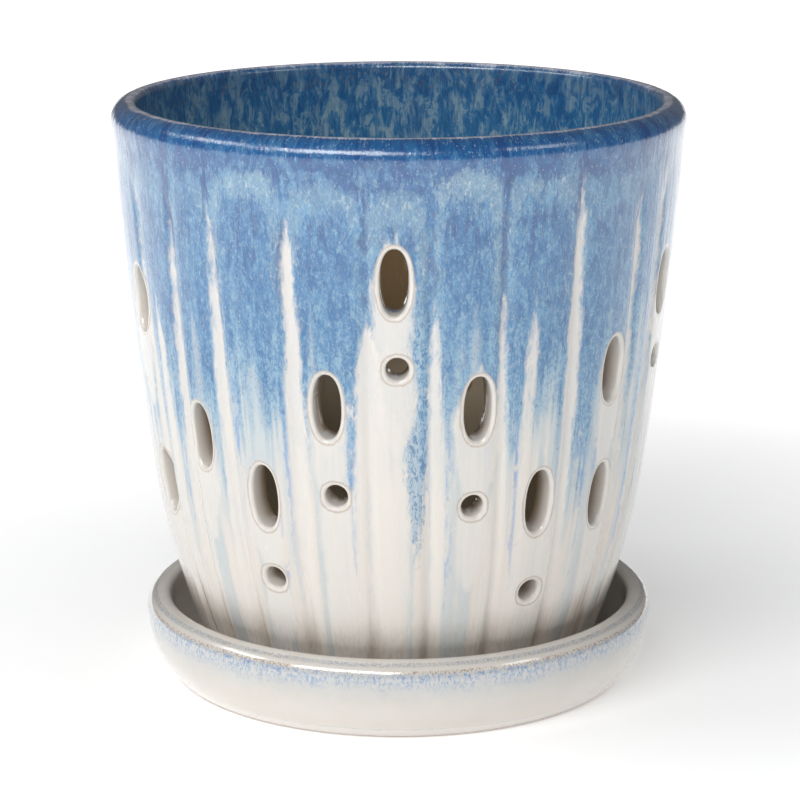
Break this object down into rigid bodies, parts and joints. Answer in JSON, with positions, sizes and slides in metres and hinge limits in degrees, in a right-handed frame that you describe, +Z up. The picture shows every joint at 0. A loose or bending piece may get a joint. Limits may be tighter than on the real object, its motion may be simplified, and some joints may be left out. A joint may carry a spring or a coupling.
{
  "type": "orchid pot with slots",
  "caption": "Round glazed stoneware orchid pot with air slots and round holes through a grooved wall, standing loose in a shallow saucer.",
  "frame": {"origin": "centre of the saucer's underside, on the table", "axes": "+Z up along the pot's axis; -Y is the front, the side with the highest slot; +X is to the right as the front is seen"},
  "size_m": [0.165, 0.165, 0.17],
  "materials": {
    "blue_glaze": "gloss",
    "cream_glaze": "gloss"
  },
  "bodies": {
    "saucer": {"saucer": "cream_glaze"},
    "pot": {"pot": "blue_glaze"}
  },
  "joints": [
    {"name": "pot_lift", "type": "slide", "parent": "saucer", "child": "pot", "axis": [0, 0, 1], "range_m": [0, 0.1]}
  ]
}
